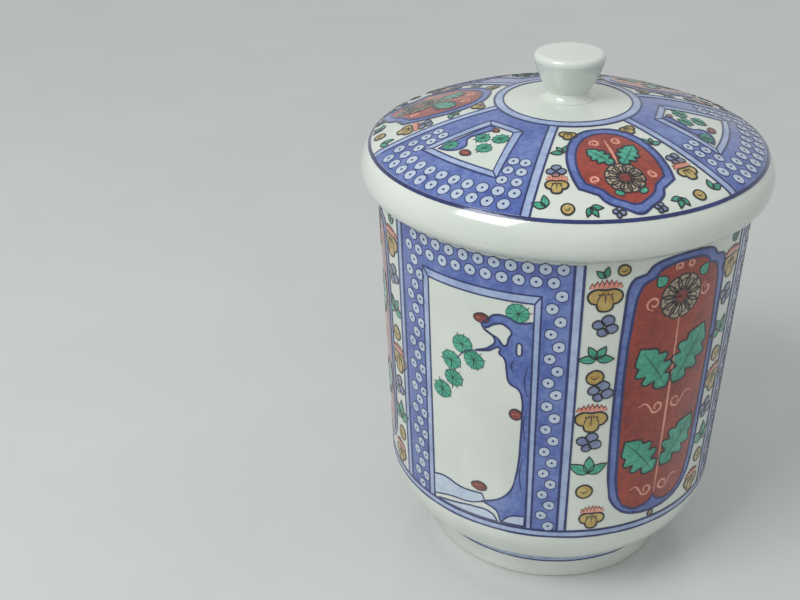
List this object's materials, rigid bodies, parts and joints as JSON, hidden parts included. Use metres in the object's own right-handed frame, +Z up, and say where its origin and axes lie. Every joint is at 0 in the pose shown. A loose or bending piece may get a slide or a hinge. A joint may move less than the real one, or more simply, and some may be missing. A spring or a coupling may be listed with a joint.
{
  "type": "lidded porcelain cup",
  "caption": "Tall footed porcelain cup with an upright wall, and a domed lid with a small knob that seats on the rim and lifts off.",
  "frame": {"origin": "on the standing surface, under the cup's axis", "axes": "+Z up along the axis of the cup and lid; -Y is the side where two painted panels meet"},
  "size_m": [0.082, 0.082, 0.109],
  "materials": {
    "porcelain": "clear glossy glaze over cool white porcelain"
  },
  "bodies": {
    "cup": {"cup": "porcelain"},
    "lid": {"lid": "porcelain", "lid_knob": "porcelain"}
  },
  "joints": [
    {"name": "lid_lift", "type": "slide", "parent": "cup", "child": "lid", "axis": [0, 0, 1], "range_m": [0, 0.06]}
  ]
}
